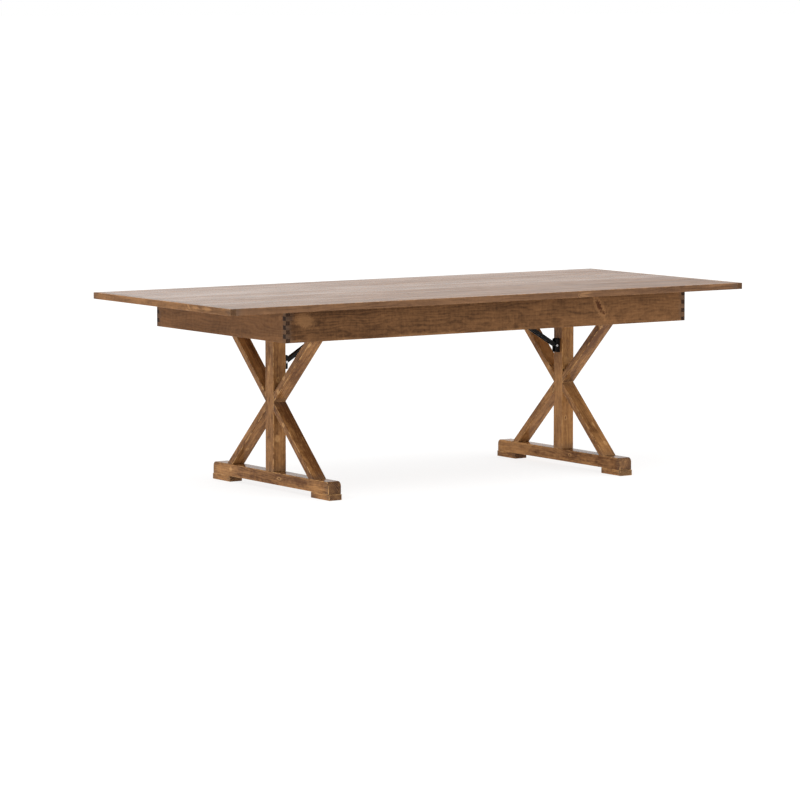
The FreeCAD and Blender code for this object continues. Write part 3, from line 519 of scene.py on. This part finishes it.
# Knots and pale spots that can be seen. Each has a point on the board's face, the way into the board
# there, a radius, how dark its core is, and for a spike knot a turn in degrees and how far it is drawn out.
# It tapers to nothing at its depth in the board. A board with an empty list is clear, and one that isn't
# here gets stray knots, but for the tabletop's.
knots = {
    "front_apron": [
        {"at": (0.505, -0.475, 0.714), "way": yWay, "radius": 0.0065, "dark": 0.0, "turn": 62, "drawn": 2.4},
        {"at": (0.520, -0.475, 0.696), "way": yWay, "radius": 0.0125, "dark": 0.85, "turn": 62, "drawn": 2.4},
        {"at": (0.543, -0.475, 0.668), "way": yWay, "radius": 0.0070, "dark": 0.8, "turn": 66, "drawn": 1.4},
        {"at": (-0.868, -0.475, 0.700), "way": yWay, "radius": 0.017, "dark": 0.0, "turn": 12, "drawn": 1.3},
    ],
    "left_apron": [
        {"at": (-0.9525, -0.437, 0.712), "way": xWay, "radius": 0.0060, "dark": 0.2},
    ],
    "left_leg_foot_pad_front": [],
    "plank_1": [
        {"at": (0.424, -0.511, 0.7515), "way": yWay, "radius": 0.0026, "dark": 0.0, "turn": -4, "drawn": 5.5,
         "deep": edgeKnotDepth},
        {"at": (0.418, -0.511, 0.7425), "way": yWay, "radius": 0.0022, "dark": 0.0, "turn": 6, "drawn": 5.5,
         "deep": edgeKnotDepth},
        {"at": (0.396, -0.511, 0.7450), "way": yWay, "radius": 0.0032, "dark": 0.7, "turn": 70, "drawn": 1.4,
         "deep": edgeKnotDepth},
    ],
    "left_end_board": [
        {"at": (-1.219, -0.214, 0.751), "way": xWay, "radius": 0.0032, "dark": 0.1, "turn": 40, "drawn": 2.4,
         "deep": edgeKnotDepth},
        {"at": (-1.219, -0.206, 0.746), "way": xWay, "radius": 0.0030, "dark": 0.7, "turn": -45, "drawn": 2.0,
         "deep": edgeKnotDepth},
        {"at": (-1.219, -0.262, 0.752), "way": xWay, "radius": 0.0034, "dark": 0.0, "drawn": 3.5,
         "deep": edgeKnotDepth},
        {"at": (-1.219, -0.345, 0.752), "way": xWay, "radius": 0.0034, "dark": 0.0, "drawn": 4.5,
         "deep": edgeKnotDepth},
    ],
    "left_leg_post": [
        {"at": (-0.7275, 0.004, 0.476), "way": xWay, "radius": 0.0045, "dark": 0.2, "drawn": 1.3},
        {"at": (-0.706, -0.0295, 0.432), "way": yWay, "radius": 0.0055, "dark": 0.45},
        {"at": (-0.709, -0.0295, 0.201), "way": yWay, "radius": 0.0070, "dark": 0.2},
    ],
    "left_leg_upper_diagonal_back": [
        {"at": (-0.7275, 0.047, 0.395), "way": xWay, "radius": 0.0045, "dark": 0.2},
    ],
    "left_leg_upper_diagonal_front": [
        {"at": (-0.721, -0.281, 0.585), "way": upIntoSlope, "radius": 0.0045, "dark": 0.0, "drawn": 1.8},
        {"at": (-0.7275, -0.105, 0.446), "way": xWay, "radius": 0.0050, "dark": 0.3},
        {"at": (-0.7275, -0.063, 0.388), "way": xWay, "radius": 0.0050, "dark": 0.1},
    ],
    "left_leg_lower_diagonal_back": [
        {"at": (-0.698, 0.210, 0.137), "way": upIntoSlope, "radius": 0.0050, "dark": 0.3},
    ],
    "left_leg_lower_diagonal_front": [
        {"at": (-0.7275, -0.101, 0.263), "way": xWay, "radius": 0.0050, "dark": 0.2},
    ],
    "left_leg_foot_beam": [
        {"at": (-0.7275, -0.070, 0.050), "way": xWay, "radius": 0.0045, "dark": 0.9, "drawn": 1.8},
        {"at": (-0.7275, 0.290, 0.052), "way": xWay, "radius": 0.0055, "dark": 0.0},
    ],
    "right_leg_post": [
        {"at": (0.690, -0.0295, 0.434), "way": yWay, "radius": 0.0085, "dark": 0.15},
        {"at": (0.676, -0.0295, 0.397), "way": yWay, "radius": 0.0045, "dark": 0.7, "drawn": 1.5},
        {"at": (0.688, -0.0295, 0.201), "way": yWay, "radius": 0.0045, "dark": 0.8, "drawn": 1.2},
    ],
    "right_leg_upper_diagonal_back": [
        {"at": (0.695, 0.098, 0.449), "way": downIntoSlope, "radius": 0.0065, "dark": 0.1},
        {"at": (0.705, 0.085, 0.437), "way": downIntoSlope, "radius": 0.0050, "dark": 0.0},
        {"at": (0.674, 0.057, 0.410), "way": downIntoSlope, "radius": 0.0055, "dark": 0.7, "drawn": 1.8},
    ],
    "right_leg_upper_diagonal_front": [
        {"at": (0.673, -0.285, 0.590), "way": upIntoSlope, "radius": 0.0045, "dark": 0.6},
    ],
    "right_leg_lower_diagonal_front": [
        {"at": (0.711, -0.270, 0.117), "way": downIntoSlope, "radius": 0.0055, "dark": 0.3},
        {"at": (0.704, -0.197, 0.187), "way": downIntoSlope, "radius": 0.0040, "dark": 0.0, "drawn": 1.6},
    ],
    "right_leg_lower_diagonal_back": [
        {"at": (0.669, 0.232, 0.088), "way": xWay, "radius": 0.0050, "dark": 0.8},
    ],
    "right_leg_foot_beam": [
        {"at": (0.669, -0.083, 0.053), "way": xWay, "radius": 0.0045, "dark": 0.8, "drawn": 1.3},
    ],
    "right_leg_foot_pad_front": [
        {"at": (0.686, -0.421, 0.014), "way": yWay, "radius": 0.0045, "dark": 0.7},
    ],
}

# how much darker a board is than its finish, at its start and at its end along the grain, partly the
# wood's own tone and partly painted shade and light: the tabletop's planks are painted darker towards
# the front and the right, and some leg timbers lighter or darker for the light on them; and, where
# there is a third number, how much of the end grain's stain is missing
tonesAndPaintedShade = {
    "plank_7": (-0.02, 0.02), "plank_6": (-0.02, 0.09), "plank_5": (-0.06, 0.06), "plank_4": (-0.02, 0.03),
    "plank_3": (0.02, 0.14), "plank_2": (0.00, 0.16), "plank_1": (0.04, 0.17), "left_end_board": (0.15, 0.04),
    "front_apron": (0.27, -0.08), "left_apron": (-0.16, -0.20),
    "left_leg_post": (0.02, -0.02), "left_leg_foot_beam": (0.28, -0.04),
    "left_leg_upper_diagonal_front": (0.20, 0.20), "left_leg_lower_diagonal_front": (0.32, 0.32),
    "left_leg_upper_diagonal_back": (0.04, 0.04), "left_leg_lower_diagonal_back": (0.08, 0.08),
    "right_leg_post": (-0.24, -0.12), "right_leg_foot_beam": (0.50, -0.50, 0.9),
    "right_leg_foot_pad_front": (0.10, 0.10),
    "right_leg_upper_diagonal_front": (0.24, 0.24), "right_leg_lower_diagonal_front": (0.04, 0.04),
    "right_leg_upper_diagonal_back": (-0.12, -0.12), "right_leg_lower_diagonal_back": (-0.10, -0.10),
}

# painted shade and light on a leg's timber by the way its faces look: how much darker it is
# where it faces the front and where it faces the left
paintedFacingShade = {
    "left_leg_upper_diagonal_back": (-0.15, 0.20), "left_leg_lower_diagonal_back": (0.0, 0.11),
    "left_leg_lower_diagonal_front": (0.0, 0.07), "right_leg_post": (-0.11, 0.11),
    "right_leg_upper_diagonal_front": (0.12, -0.08), "right_leg_upper_diagonal_back": (-0.34, 0.16),
    "right_leg_lower_diagonal_back": (-0.13, 0.15), "left_leg_foot_beam": (-0.22, 0.0),
    "right_leg_foot_beam": (-0.24, 0.0),
}

bodyOf = {}
for bodyName, members in frame["record"]["behaviour"]["bodies"].items():
    for member in members:
        bodyOf[member] = bodyName


def writeVectors(mesh, name, vectors):
    layer = mesh.attributes.new(name, "FLOAT_VECTOR", "POINT")
    layer.data.foreach_set("vector", [number for vector in vectors for number in vector])


def writeNumbers(mesh, name, domain, numbers):
    layer = mesh.attributes.new(name, "FLOAT", domain)
    layer.data.foreach_set("value", numbers)


# How far edges are eased, in metres. Of the angles, in degrees, facets under flat are merged, those of a
# drilled hole meet within holeWall, edges over sharp are eased, and any left over crease stay crisp.
easing = {
    "board": 0.0012,
    "apron": 0.0006,
    "timber": 0.0020,
    "steel": 0.0004,
    "segments": 3,
    "weld": 0.00001,
    "flat": 1,
    "holeWall": (2, 60),
    "sharp": 30,
    "crease": 42,
}


# A finished copy of a machined part: clean faces and eased edges, with holes left as drilled
def easedCopy(node, ease):
    work = bmesh.new()
    work.from_mesh(nodes[node].data)
    bmesh.ops.remove_doubles(work, verts=work.verts, dist=easing["weld"])
    bmesh.ops.dissolve_limit(work, angle_limit=math.radians(easing["flat"]),
                             verts=work.verts, edges=work.edges)
    solid = [edge for edge in work.edges if edge.is_manifold]
    shallow, steep = (math.radians(angle) for angle in easing["holeWall"])
    walls = set()
    for edge in solid:
        if not edge.is_convex and shallow < edge.calc_face_angle() < steep:
            walls.update(edge.link_faces)
    sharp = [
        edge for edge in solid
        if edge.is_convex and edge.calc_face_angle() > math.radians(easing["sharp"])
        and not walls.intersection(edge.link_faces)
    ]
    result = bmesh.ops.bevel(work, geom=sharp, offset=ease, offset_type="OFFSET", profile=0.5,
                             segments=easing["segments"], affect="EDGES", clamp_overlap=True)
    easedFaces = set(result["faces"])
    eased = [float(face in easedFaces) for face in work.faces]
    for face in work.faces:
        face.smooth = True
    for edge in work.edges:
        edge.smooth = not (edge.is_manifold and edge.calc_face_angle() > math.radians(easing["crease"]))
    mesh = bpy.data.meshes.new(node + "_finished")
    work.to_mesh(mesh)
    work.free()
    writeNumbers(mesh, "easedEdge", "FACE", eased)
    return mesh


# A knot's own coordinates: the way to it along and across the grain, turned and drawn out
def knotPlaces(mesh, along, knot):
    across = knot["way"].cross(along).normalized()
    turn = math.radians(knot.get("turn", 0))
    for vertex in mesh.vertices:
        reach = vertex.co - Vector(knot["at"])
        flat, side = reach.dot(along), reach.dot(across)
        drawn = (flat * math.cos(turn) + side * math.sin(turn)) / knot.get("drawn", 1)
        taper = 1 - reach.dot(knot["way"]) / knot.get("deep", radiiDeep * knot["radius"])
        yield drawn, side * math.cos(turn) - flat * math.sin(turn), knot["radius"] * taper


# The stray knots of legs, aprons, battens and cleats, which are mostly seen from behind or below.
# Their radius is a share of half the board's width, and they keep some radii from its edges.
strayLook = {
    "perMetre": 3,
    "most": 3,
    "radiusShare": (0.12, 0.20),
    "largest": 0.008,
    "edgeRadii": 3,
    "endShare": 0.85,
    "dark": (0.2, 0.9),
}


def strayKnots(node, along, across, own, middle):
    if "plank" in node or "end_board" in node:
        return []
    look = strayLook
    chance = random.Random(node)
    halfLong = max(place.x for place in own)
    halfWide = max(place.y for place in own)
    found = []
    for _ in range(min(look["most"], round(2 * halfLong * look["perMetre"]))):
        radius = min(halfWide * chance.uniform(*look["radiusShare"]), look["largest"])
        side = chance.uniform(-1, 1) * (halfWide - look["edgeRadii"] * radius)
        lengthwise = along * halfLong * chance.uniform(-look["endShare"], look["endShare"])
        found.append({
            "at": middle + lengthwise + across * side, "way": along.cross(across),
            "deep": farAway, "radius": radius, "dark": chance.uniform(*look["dark"]),
        })
    return found


# Each board has its own place in the log, off the heart by so much, and its own tone where none is given.
# A face cuts the grain where its normal leans along it by more than cutFrom, and fully at cutOver past
# that. One whose normal rises less than edgeRise is an edge, and on the tabletop it gets painted shade.
boardLook = {
    "along": (-20, 20),
    "across": (-0.05, 0.05),
    "fromHeart": (0.05, 0.11),
    "tone": (-0.08, 0.08),
    "cutFrom": 0.2,
    "cutOver": 0.4,
    "edgeRise": 0.5,
}


# How far a face cuts across the grain: an end does fully, and its eased and rounded edges in part
def grainCut(lean):
    return min(1, max(0, abs(lean) - boardLook["cutFrom"]) / boardLook["cutOver"])


def finishBoard(node):
    along, across, finish, easeKind, slotName = boardKind(node)
    through = along.cross(across)
    mesh = easedCopy(node, easing[easeKind])
    low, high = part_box(node)
    middle = (low + high) / 2
    shift = Vector((
        random.uniform(*boardLook["along"]), random.uniform(*boardLook["across"]),
        random.choice((-1, 1)) * random.uniform(*boardLook["fromHeart"]),
    ))
    ownTone = random.uniform(*boardLook["tone"])
    startTone, endTone, paleEnd = (*tonesAndPaintedShade.get(node, (ownTone, ownTone)), 0)[:3]
    reaches = [vertex.co - middle for vertex in mesh.vertices]
    own = [Vector((reach.dot(along), reach.dot(across), reach.dot(through))) for reach in reaches]
    halfLong = max(place.x for place in own)
    lowest = min(place.y for place in own)
    writeVectors(mesh, "boardPlace", [place + shift for place in own])
    writeVectors(mesh, "boardSpot", [(place.x, place.y - lowest, halfLong) for place in own])

    unseen = {"at": middle + along * farAway, "way": through, "radius": 0.001, "dark": 0.0}
    ownKnots = knots[node] if node in knots else strayKnots(node, along, across, own, middle)
    for letter, knot in zip(knotLetters, ownKnots + [unseen] * len(knotLetters)):
        writeVectors(mesh, "knot" + letter, knotPlaces(mesh, along, knot))
        writeNumbers(mesh, "dark" + letter, "POINT", [knot["dark"]] * len(mesh.vertices))

    slope = (endTone - startTone) / (2 * halfLong)
    front, side = paintedFacingShade.get(node, (0, 0))

    # a board's tone along its grain, with painted shade and light added by the way each face looks
    def toneAndPaintedShadeAt(corner, normal):
        lengthwise = startTone + slope * (own[corner].x + halfLong)
        return lengthwise + front * max(0, -normal.y) + side * max(0, -normal.x)

    writeNumbers(mesh, "boardToneAndPaintedShade", "CORNER", [
        toneAndPaintedShadeAt(corner, face.normal) for face in mesh.polygons for corner in face.vertices
    ])
    # painted shade on the tabletop's upright edges, stored with the end grain
    paintedEdgeShadeLevel = pineFinishes[finish]["sideShade"] / pineFinishes[finish]["endShare"]
    writeNumbers(mesh, "endFaceAndEdgeShade", "FACE", [
        max((1.0 - paleEnd) * grainCut(face.normal.dot(along)),
            paintedEdgeShadeLevel * (abs(face.normal.z) < boardLook["edgeRise"]))
        for face in mesh.polygons
    ])
    mesh.materials.append(pine[finish])
    addPiece(node, mesh)


def addPiece(node, mesh):
    piece = bpy.data.objects.new(node + "_finished", mesh)
    bpy.context.collection.objects.link(piece)
    evenNormals = piece.modifiers.new("evenNormals", "WEIGHTED_NORMAL")
    evenNormals.keep_sharp = True
    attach(piece, bodyOf[node])
    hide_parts(node)


boards = [node for node in sorted(nodes) if boardKind(node)]
for node in boards:
    finishBoard(node)
print("boards finished:", len(boards))

# folded and pressed steel parts
steelWords = ("hinge_plate", "brace_track", "brace_bracket", "brace_bar")
steelParts = [
    node for node in sorted(nodes)
    if any(word in node for word in steelWords) and "pin" not in node
]
for node in steelParts:
    mesh = easedCopy(node, easing["steel"])
    mesh.materials.append(steel["blackSteel"])
    addPiece(node, mesh)
print("steel parts finished:", len(steelParts))

# screws, pins and rivets keep their turned shape
turnedParts = [node for node in sorted(nodes) if node.endswith(("screws", "pins", "_rivet", "track_pin"))]
for node in turnedParts:
    mesh = nodes[node].data
    mesh.materials.clear()
    mesh.materials.append(steel["zincSteel"])
print("screws, pins and rivets finished:", len(turnedParts))

# Floor and light. The floor glows where it is looked at, so that it shows nearly white with the table's
# shadow on it, and less where it lights the table.
studio = {
    "ambient": 0.92,
    "keyStrength": 0.95,
    "keyFrom": (-0.72, -0.30, 0.95),
    "keySpread": 42.0,
    "fillStrength": 0.55,
    "fillFrom": (0.35, -0.85, 0.80),
    "fillSpread": 60.0,
    "floorColour": (0.86, 0.86, 0.86, 1.0),
    "floorSeenColour": (0.25, 0.25, 0.25, 1.0),
    "floorLift": 0.80,
    "floorGlow": 0.45,
    "floorHalf": 400.0,
    "floorDrop": 0.0005,
}
white = (1, 1, 1, 1)


# whether a ray shows the background itself, straight, in a gloss or through something clear
def lookedAt(tree, path):
    seen = math2(tree, "MAXIMUM", path.outputs["Is Camera Ray"], path.outputs["Is Glossy Ray"])
    return math2(tree, "MAXIMUM", seen, path.outputs["Is Transmission Ray"])


def addFloor():
    half = studio["floorHalf"]
    corners = [(-half, -half, 0), (half, -half, 0), (half, half, 0), (-half, half, 0)]
    mesh = bpy.data.meshes.new("studioFloor")
    mesh.from_pydata(corners, [], [(0, 1, 2, 3)])
    floor = bpy.data.objects.new("studioFloor", mesh)
    floor.location.z = -studio["floorDrop"]
    bpy.context.collection.objects.link(floor)
    material = bpy.data.materials.new("studioFloor")
    material.use_nodes = True
    tree = material.node_tree
    tree.nodes.clear()
    output = addNode(tree, "ShaderNodeOutputMaterial")
    path = addNode(tree, "ShaderNodeLightPath")
    tint = mixColour(tree, path.outputs["Is Camera Ray"], studio["floorColour"], studio["floorSeenColour"])
    paint = addNode(tree, "ShaderNodeBsdfDiffuse", {"Color": tint})
    strength = mapRange(tree, lookedAt(tree, path), 0.0, 1.0, studio["floorGlow"], studio["floorLift"])
    glow = addNode(tree, "ShaderNodeEmission", {"Color": white, "Strength": strength})
    both = addNode(tree, "ShaderNodeAddShader", {0: paint.outputs[0], 1: glow.outputs[0]})
    tree.links.new(both.outputs[0], output.inputs["Surface"])
    mesh.materials.append(material)


def addWorld():
    world = bpy.data.worlds.new("studioWorld")
    world.use_nodes = True
    bpy.context.scene.world = world
    tree = world.node_tree
    tree.nodes.clear()
    output = addNode(tree, "ShaderNodeOutputWorld")
    path = addNode(tree, "ShaderNodeLightPath")
    dim = addNode(tree, "ShaderNodeBackground", {"Color": white, "Strength": studio["ambient"]})
    bright = addNode(tree, "ShaderNodeBackground", {"Color": white, "Strength": 1.0})
    mixed = addNode(tree, "ShaderNodeMixShader", {
        0: lookedAt(tree, path), 1: dim.outputs[0], 2: bright.outputs[0],
    })
    tree.links.new(mixed.outputs[0], output.inputs["Surface"])


def addSun(name, strength, comesFrom, spread):
    data = bpy.data.lights.new(name, "SUN")
    data.energy = strength
    data.angle = math.radians(spread)
    lamp = bpy.data.objects.new(name, data)
    lamp.rotation_euler = Vector(comesFrom).to_track_quat("Z", "Y").to_euler()
    bpy.context.collection.objects.link(lamp)


addFloor()
addWorld()
addSun("keyLight", studio["keyStrength"], studio["keyFrom"], studio["keySpread"])
addSun("fillLight", studio["fillStrength"], studio["fillFrom"], studio["fillSpread"])
bpy.context.scene.view_settings.view_transform = "Standard"
print("studio lit")
